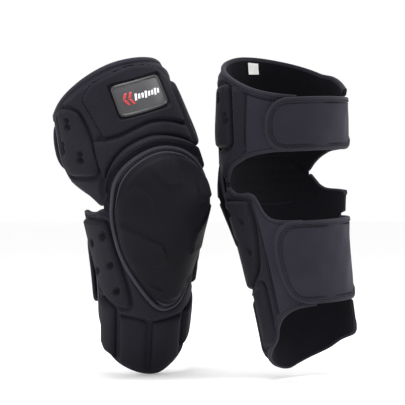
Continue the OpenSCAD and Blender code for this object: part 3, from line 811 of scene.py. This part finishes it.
def build_thigh():
    u, z = columns(sleeve_angles(), thigh_low, lambda u: rim(u) - 2.0, 91, 0.15)
    low, high = np.broadcast_to(thigh_low(u), z.shape), np.broadcast_to(rim(u) - 2.0, z.shape)
    u = wing(u, z)
    outer = sleeve_depth(u, z, THIGH_PADS, THIGH_FOAM, low, high)
    below_roll = ease((roll_bottom(u) + 1.0 - z) / 3.0) * (abs(u) < 56)
    outer = outer * (1 - below_roll) + SLEEVE_T * below_roll
    install("thigh_sleeve", shell(u, z, 0, outer), NEOPRENE, "thigh", "thigh_sleeve")
    build_lining("thigh_lining", "thigh", lambda u: thigh_low(u) + 1.5, lambda u: rim(u) - 4, 40)

    us = np.linspace(MEDIAL_END, WING_END, 150)
    rim_tape = band(wing(us, rim(us)), rim(us), edge_tape(5.0, SLEEVE_T + 1.0, -1.4), sign=-1)
    install("thigh_rim_binding", rim_tape, TAPE, "thigh", "thigh_rim_binding")
    low_tapes = []
    for first, last in FREE_EDGES:
        us = np.linspace(first, last, 60)
        low_tapes.append(band(us, thigh_low(us), edge_tape()))
    install("thigh_low_binding", joined(*low_tapes), TAPE, "thigh")


def badge_recess(u, z):
    """The sunk field of the front panel that holds the badge."""
    x, y = abs(u - PANEL_SHIFT) * mm_per_degree(z), abs(z - BADGE_HEIGHT)
    half_x, half_y, corner = 32.5, 19.5, 4.0
    away = np.hypot(np.maximum(x - half_x + corner, 0), np.maximum(y - half_y + corner, 0)) - corner
    return -3.6 * ease(-away / 1.6 + 0.3)


def dimple(points, centre, radius, depth):
    """A round sunk field with a faint raised lip."""
    d = np.hypot(*(np.moveaxis(points, -1, 0) - np.array(centre)[:, None, None]))
    return -depth * ease((radius - d) / (radius * 0.62)) + 0.35 * hump(d, radius * 1.25, 1.3)


# the dimples that run into each other at one place: outwards, up, radius, depth
KEYHOLE = ((-0.6, 3.8, 4.0, 5.4), (0.6, -3.4, 4.8, 6.4))
DROP = ((0.0, 0.0, 5.2, 6.2), (-1.0, 3.2, 3.6, 4.0))


def dimples(shape, places):
    """The relief of a pad with dimples of one shape at each (angle, height) place."""

    def relief(u, z):
        points, depth = flat(u, z), np.zeros(np.shape(u))
        for at_u, at_z in places:
            x = at_u * mm_per_degree(at_z)
            for out, up, radius, deep in shape:
                centre = (x + out * np.sign(at_u), at_z + up)
                depth = np.minimum(depth, dimple(points, centre, radius, deep))
        return depth

    return relief


def install_pad(name, pad, body, relief=None):
    install(name, pad.built(relief), PAD, body, name)


def build_thigh_pads():
    install_pad("thigh_front_pad", front_pad, "thigh", badge_recess)
    install_pad("thigh_arch_pad", arch_pad, "thigh")
    install_pad("thigh_roll_pad", roll_pad, "thigh")
    places = [(66, 98), (78.5, 72), (58.5, 61)]
    install_pad("thigh_outer_pad", thigh_side, "thigh", dimples(KEYHOLE, places))
    install_pad("thigh_inner_pad", thigh_side_inner, "thigh", dimples(KEYHOLE, [(-u, z) for u, z in places]))


BADGE_HALF_WIDTH, BADGE_HALF_HEIGHT = 28.5, 15.8
BADGE_BACK, BADGE_FACE = 6.2, 8.2  # depths of the plate's back and of the marks' feet
BADGE_SCALE = mm_per_degree(BADGE_HEIGHT)


def build_badge():
    """A rubber frame, a plate, two chevrons and a row of plain strokes."""
    phi = round_angles(96)
    round_square = [np.sign(v) * abs(v) ** 0.22 for v in (np.cos(phi), np.sin(phi))]
    u = PANEL_SHIFT + (BADGE_HALF_WIDTH + 0.4) * round_square[0] / BADGE_SCALE
    z = BADGE_HEIGHT + (BADGE_HALF_HEIGHT + 0.4) * round_square[1]
    cut = [(2.2, 6.2), (2.0, 8.4), (0.9, 9.3), (-0.6, 9.0), (-1.2, 8.2), (-1.3, 6.2)]
    install("badge_frame", band(u, z, cut, closed=True), RUBBER, "thigh", "badge_frame")

    half = BADGE_HALF_WIDTH / BADGE_SCALE
    u, z = columns(np.linspace(-half, half, 61), at_height(BADGE_HEIGHT - BADGE_HALF_HEIGHT),
                   at_height(BADGE_HEIGHT + BADGE_HALF_HEIGHT), 41, 0.1)
    d = np.minimum(BADGE_HALF_WIDTH - abs(u * BADGE_SCALE), BADGE_HALF_HEIGHT - abs(z - BADGE_HEIGHT))
    plate = shell(u + PANEL_SHIFT, z, BADGE_BACK, 7.6 + 0.7 * shoulder(d / 2.0))
    install("badge_plate", plate, METAL, "thigh", "badge_plate")

    install("badge_chevrons", joined(*chevron(18.5), *chevron(12.5)), RED, "thigh")
    heights = (3.6, 2.6, 2.6, 3.6, 2.6, 2.6, 3.6, 2.6)
    strokes = [stroke(5.5 - 4.1 * k, half) for k, half in enumerate(heights)]
    install("badge_bars", joined(*strokes), WHITE, "thigh")


def mark(u, z, round_over):
    """A raised mark on the badge."""
    d = distance(flat(u, z), boundary(u, z))
    return shell(u + PANEL_SHIFT, z, BADGE_FACE - 0.6, BADGE_FACE + 0.9 * shoulder(d / round_over))


def stroke(x, half):
    """A short slanted stroke; x is where it starts, in millimetres from the badge's middle."""
    width, slant = 2.7, 0.3
    u, z = columns(np.linspace(x, x + width, 9) / BADGE_SCALE, at_height(BADGE_HEIGHT - half),
                   at_height(BADGE_HEIGHT + half), 9, 0.3)
    return mark(u - (z - BADGE_HEIGHT) * slant / BADGE_SCALE, z, 0.8)


def chevron(x):
    """The two arms of a chevron that points outwards."""
    width, arm, lean = 3.4, 6.5, -0.55
    arms = []
    for low, high in ((0, arm), (-arm, 0)):
        u, z = columns(np.linspace(x, x + width, 7) / BADGE_SCALE, at_height(BADGE_HEIGHT + low),
                       at_height(BADGE_HEIGHT + high), 9, 0.1)
        arms.append(mark(u + abs(z - BADGE_HEIGHT) * lean / BADGE_SCALE, z, 1.0))
    return arms


def build_label():
    u, z = columns(np.linspace(-14, -1, 15), at_height(132), lambda u: 147 + 0.1 * u, 15, 0.1)
    lift = -2.4 - 0.5 * ease((138 - z) / 6)
    install("care_label", shell(u, z, lift - 0.35, lift), LABEL, "thigh", "care_label")


def loop_panel(name, low, high, body):
    u, z = columns(np.linspace(103, 148, 31), low, high, 41, 0.3)
    d = distance(flat(u, z), boundary(u, z))
    outer = SLEEVE_T + 0.5 + 0.5 * shoulder(d / 1.5)
    install(name, shell(u, z, SLEEVE_T + 0.15, outer), LOOP, body, name)


# ---- straps ----


def strap_edges(low, high, tip, reach, rise):
    """Lower and upper edge of a strap over the angle: round at its free end, and slimmer at its root."""

    def share(u):
        x = np.clip((tip + reach - u) / reach, 0, 1)
        return np.maximum(1 - x**2.6, 0) ** (1 / 2.4)

    def edges(u):
        lift = rise * ease((u - 205) / 40)
        half = (high - low) * share(u)
        return (low + high - half) / 2 + lift, (low + high + half) / 2

    return (lambda u: edges(u)[0]), (lambda u: edges(u)[1])


def build_strap(part, low, high, tip, reach, rise, hooks):
    """A strap with its binding, seams and hook patch.

    low, high and hooks are heights. The free end is at the angle tip and is round over reach degrees, and
    the lower edge climbs by rise towards the sewn root.
    """
    lower, upper = strap_edges(low, high, tip, reach, rise)
    us = np.concatenate([tip + 0.05 + reach * np.linspace(0, 1, 34) ** 2.2,
                         np.linspace(tip + reach + 2, ROOT_ANGLE, 62)])
    u, z = columns(us, lower, upper, 33, 0.3)
    base = strap_depth(u)
    d = np.minimum(distance(flat(u, z), boundary(u, z)), 30)
    wave = ripple(u, z * 1.4, 0.5) * ease((u - 140) / 30) * ease((ROOT_ANGLE - 4 - u) / 20)
    outer = base + 2.6 + 0.6 * shoulder((d - 4.5) / 5.0) + wave
    inner = base + wave * 0.8 * ease((u - 160) / 20)
    install(part, shell(u, z, inner, outer), LOOP, part, part)

    back = us[::-1]
    path_u = np.concatenate([back, us[1:]])
    path_z = np.concatenate([upper(back), lower(us[1:])])
    keep = np.concatenate([[True], np.hypot(*np.diff(flat(path_u, path_z), axis=0).T) > 0.35])
    path_u, path_z = path_u[keep], path_z[keep]
    tape = edge_line(path_u, path_z, edge_tape(4.6, 3.9, -0.5), strap_depth(path_u))
    install(part + "_binding", tape, TAPE, part)
    rows = [stitch_path(path_u, path_z, inset, lift) for inset, lift in ((3.6, 3.95), (6.6, 3.2))]
    install(part + "_stitching", joined(*rows), THREAD, part)

    u, z = columns(np.linspace(129, 148, 12), at_height(hooks[0]), at_height(hooks[1]), 14, 0.2)
    hook = part.replace("strap", "hook_patch")
    install(hook, shell(u, z, 4.7, 6.3), HOOK, part, hook)


def edge_line(u, z, section, base):
    """A folded tape along a line whose depth changes from place to place."""
    _, faces, skin = band(u, z, section)
    depth = np.tile(np.array(section, float)[:, 1], len(u)) + np.repeat(base, len(section))
    return leg(skin[:, 0], skin[:, 1], depth), faces, skin


def inset_line(u, z, inset):
    """A line on the leg, moved to its left side by some millimetres."""
    line = flat(u, z)
    ahead = np.gradient(line, axis=0)
    ahead /= np.linalg.norm(ahead, axis=1)[:, None]
    moved = line + np.stack([-ahead[:, 1], ahead[:, 0]], -1) * inset
    return moved[:, 0] / mm_per_degree(moved[:, 1]), moved[:, 1]


def stitch_path(u, z, inset, lift):
    """A row of stitches beside a strap's edge."""
    iu, iz = inset_line(u, z, inset)
    return stitches(iu, iz, strap_depth(iu) + lift)


# ---- knee cup ----


def cup_lift(share):
    return CUP_CROWN * (1 - share**2.5)


def mirrored_line(points):
    """The same relief on the cup's inner half, which leans with the cup's middle line."""
    return [(2 * (z - CUP_TOP) / CUP_LEAN - 2 - u, z) for u, z in points]


SHIELD = [(13, 54), (12, 44), (10, 28), (5, 15), (-3, 9), (-10, 11), (-14, 22), (-15, 42), (-15, 54)]
SCALES = [
    [(33, 24), (29, 18), (21, 13), (17, 1), (16, -20), (30, -19), (48, -25), (60, -10), (50, 20)],
    [(60, -20), (46, -25), (30, -37), (12, -55), (8, -68), (8, -81), (24, -82), (60, -84)],
    [(54, -84), (41, -89), (27, -99), (9, -116), (6, -129), (16, -129), (40, -122)],
]


def cup_relief(u, z, share):
    """Raised facets: a shield at the top and three overlapping scales down each side."""
    points = flat(u, z)
    relief = np.zeros(u.shape)
    for outline in [SHIELD] + SCALES + [mirrored_line(s) for s in SCALES]:
        line = flat(*np.array(outline, float).T)
        d = distance(points, line) * np.where(inside(points, line), 1, -1)
        relief = np.maximum(relief, 2.4 * ease((d + 0.5) / 1.7) * np.exp(-np.clip(d - 1.5, 0, 60) / 16))
    fade = ease((0.9 - share) / 0.12)
    return relief * fade


def follow_crown(base, rise=0.7):
    """The depth of a dome that follows the cup's crown."""
    return lambda u, z, share: base + cup_lift(share) * rise


def cover_outer(u, z, share):
    edge = ease((share - 0.86) / 0.12)
    crown = 9.8 + cup_lift(share) * 0.76
    channel = 0.9 * hump(share, 0.895, 0.014)
    return crown * (1 - edge) + 5.4 * edge - channel + cup_relief(u, z, share)


def cover_inner(u, z, share):
    return np.where(share < 0.88, follow_crown(8.3)(u, z, share), 3.6)


def round_cord(inset, depth, radius, n):
    """The cut of a round cord, as (inset, depth) points."""
    return [(inset + radius * math.cos(a), depth + radius * math.sin(a)) for a in round_angles(n)]


def build_cup():
    rings = np.concatenate([np.linspace(0.03, 0.86, 54), np.linspace(0.872, 1.0, 17)])
    cover = dome(rings, 144, cover_inner, cover_outer)
    install("cup_cover", cover, CUP, "cup", "cup_cover")
    plastic = dome(np.linspace(0.05, 0.85, 14), 56, follow_crown(5.4), follow_crown(7.8))
    install("cup_shell", plastic, PLASTIC, "cup", "cup_shell")
    foam = dome(np.linspace(0.05, 0.84, 14), 56, follow_crown(3.6, 0.0), follow_crown(4.4))
    install("cup_foam", foam, FOAM, "cup", "cup_foam")

    u, z = cup_outline(round_angles(180))
    flange = [(8.4, 5.2), (8.4, 6.2), (6.5, 6.5), (4.0, 6.0), (2.0, 5.4), (2.0, 4.6)]
    cuts = (round_cord(-0.2, 6.1, 1.9, 10), round_cord(5.6, 6.9, 1.1, 8), flange)
    piping = joined(*[band(u, z, cut, closed=True) for cut in cuts])
    install("cup_piping", piping, PIPING_PAINTED_HIGHLIGHT, "cup", "cup_piping")
    iu, iz = inset_line(np.append(u, u[0]), np.append(z, z[0]), 3.7)
    install("cup_stitching", stitches(iu, iz, 6.6), THREAD, "cup")


def build_knee_panel():
    us = np.linspace(-62, 62, 63)
    u, z = columns(us, lambda u: shin_top(u) - 3, lambda u: thigh_low(u) + 3, 33, 0.1)
    pleat = 0.5 * np.sin(z / 1.9)
    panel = shell(u, z, 0.6 * pleat, 2.4 + pleat)
    install("knee_stretch_panel", panel, STRETCH, "knee", "knee_stretch_panel")


# ---- shin section ----


def build_shin():
    u, z = columns(sleeve_angles(), hem, shin_top, 131, 0.12)
    low, high = np.broadcast_to(hem(u), z.shape), np.broadcast_to(shin_top(u), z.shape)
    u = wing(u, z)
    outer = sleeve_depth(u, z, SHIN_PADS, SHIN_FOAM, low, high)
    cup = flat(*cup_outline(round_angles(120)))
    points = flat(u, z)
    beside_cup = np.where(inside(points, cup), 0, ease(distance(points, cup) / 5.0))
    outer = SLEEVE_T + (outer - SLEEVE_T) * beside_cup
    install("shin_sleeve", shell(u, z, 0, outer), NEOPRENE, "shin", "shin_sleeve")
    build_lining("shin_lining", "shin", lambda u: hem(u) + 2, lambda u: shin_top(u) - 1.5, 60)

    us = np.linspace(MEDIAL_END, WING_END, 170)
    tapes = [band(wing(us, hem(us)), hem(us), edge_tape())]
    for first, last in FREE_EDGES:
        us = np.linspace(first, last, 70)
        tapes.append(band(wing(us, shin_top(us)), shin_top(us), edge_tape(), sign=-1))
    install("shin_binding", joined(*tapes), TAPE, "shin")


def build_shin_pads():
    places = [(66, -40), (85, -49), (62, -75), (83, -84), (56, -109)]
    install_pad("shin_outer_pad", shin_side, "shin", dimples(DROP, places))
    install_pad("shin_inner_pad", shin_side_inner, "shin", dimples(DROP, [(-u - 4, z) for u, z in places]))
    install_pad("shin_low_outer_pad", low_outer, "shin")
    install_pad("shin_low_inner_pad", low_inner, "shin")
    install_pad("shin_outer_rib", outer_rib, "shin")
    install_pad("shin_inner_rib", inner_rib, "shin")


# ---- stitching of the sleeves ----


def sewn(u, z, height):
    """A row of stitches on a sleeve, height above its bare surface."""
    return stitches(wing(u, z), z, SLEEVE_T + height)


def zigzag(u, z):
    """An upright seam of slanted stitches, beside the loop panel."""
    return stitches(u, z, SLEEVE_T + 0.35, pitch=2.6, length=2.2, slant=24)


def build_stitching():
    around = np.linspace(MEDIAL_END + 1, WING_END - 1, 200)
    sides = (np.linspace(MEDIAL_END + 1, -66, 60), np.linspace(66, WING_END - 1, 90))

    thigh = [sewn(around, rim(around) - 3.6, 1.05), sewn(around, rim(around) - 8.5, 0.5)]
    for us in sides:
        thigh.append(stitches(us, thigh_low(us) + 3.6, SLEEVE_T + 0.75))
        thigh.append(stitches(us, thigh_low(us) + 7.5, SLEEVE_T + 0.4))
    z = np.linspace(38, 99, 40)
    thigh += [zigzag(100.5 + offset + 0 * z, z) for offset in (0, 2.4)]
    install("thigh_stitching", joined(*thigh), THREAD, "thigh")

    shin = [sewn(around, hem(around) + 3.6, 0.75)]
    for us in sides:
        shin.append(sewn(us, shin_top(us) - 3.6, 0.75))
        shin.append(sewn(us, shin_top(us) - 7.2, 0.4))
    z = np.linspace(-156, -46, 70)
    u = curve([(-156, 98), (-108, 98), (-84, 101), (-46, 103)], z)
    shin += [zigzag(u + offset, z) for offset in (0, 2.6)]
    install("shin_stitching", joined(*shin), THREAD, "shin")


# ---- stage ----


def build_stage():
    """A wide pale floor, a millimetre below the lowest point of the guards."""
    half, floor = 12.0, cad_low.z - MM
    verts = [(x, y, floor) for y in (-half, half) for x in (-half, half)]
    mesh = bpy.data.meshes.new("stage")
    mesh.from_pydata(verts, [], [(0, 1, 3, 2)])
    mesh.materials.append(white_stage())
    new_object("stage", mesh)


def area_light(name, at, target, size, power):
    data = bpy.data.lights.new(name, "AREA")
    data.shape, data.size, data.size_y, data.energy = "RECTANGLE", size[0], size[1], power
    light = new_object(name, data)
    light.location = at
    light.rotation_euler = (Vector(target) - Vector(at)).to_track_quat("-Z", "Y").to_euler()


def build_lights():
    """A white room, with a tall soft box on either side and a wide one above."""
    middle = (cad_low + cad_high) / 2
    world = bpy.data.worlds.new("studio")
    bpy.context.scene.world = world
    world.use_nodes = True
    sky = world.node_tree.nodes["Background"]
    sky.inputs["Color"].default_value = (1, 1, 1, 1)
    sky.inputs["Strength"].default_value = 1.0
    area_light("left_box", (-0.75, -0.75, 0.35), middle, (0.3, 1.0), 6)
    area_light("right_box", (1.15, -0.05, 0.25), middle, (0.4, 1.0), 8)
    area_light("top_box", (0.05, -0.30, 1.05), middle, (0.8, 0.4), 16)


def build_camera():
    """Straight ahead, 1.5 m off, with the view 0.486 m wide at the knees."""
    distance_off, view_width = 1.5, 0.486
    data = bpy.data.cameras.new("camera")
    data.sensor_width = 36
    data.lens = data.sensor_width * distance_off / view_width
    camera = new_object("camera", data)
    camera.location = (0.0726, -distance_off, -0.0186)
    camera.rotation_euler = (math.pi / 2, 0, 0)
    bpy.context.scene.camera = camera


build_camera()
build_lights()
build_stage()
build_thigh()
build_thigh_pads()
build_badge()
build_label()
loop_panel("thigh_loop_panel", lambda u: thigh_low(u) + 4, lambda u: rim(u) - 9, "thigh")
build_strap("thigh_strap", 31, 90, 124, 20, 11, (42, 78))
build_cup()
build_knee_panel()
build_shin()
build_shin_pads()
loop_panel("calf_loop_panel", lambda u: hem(u) + 4, lambda u: shin_top(u) - 4, "shin")
build_strap("calf_strap", -142, -50, 117, 26, 9, (-128, -62))
build_stitching()
bpy.context.scene.view_settings.view_transform = "Standard"

bpy.context.view_layer.update()
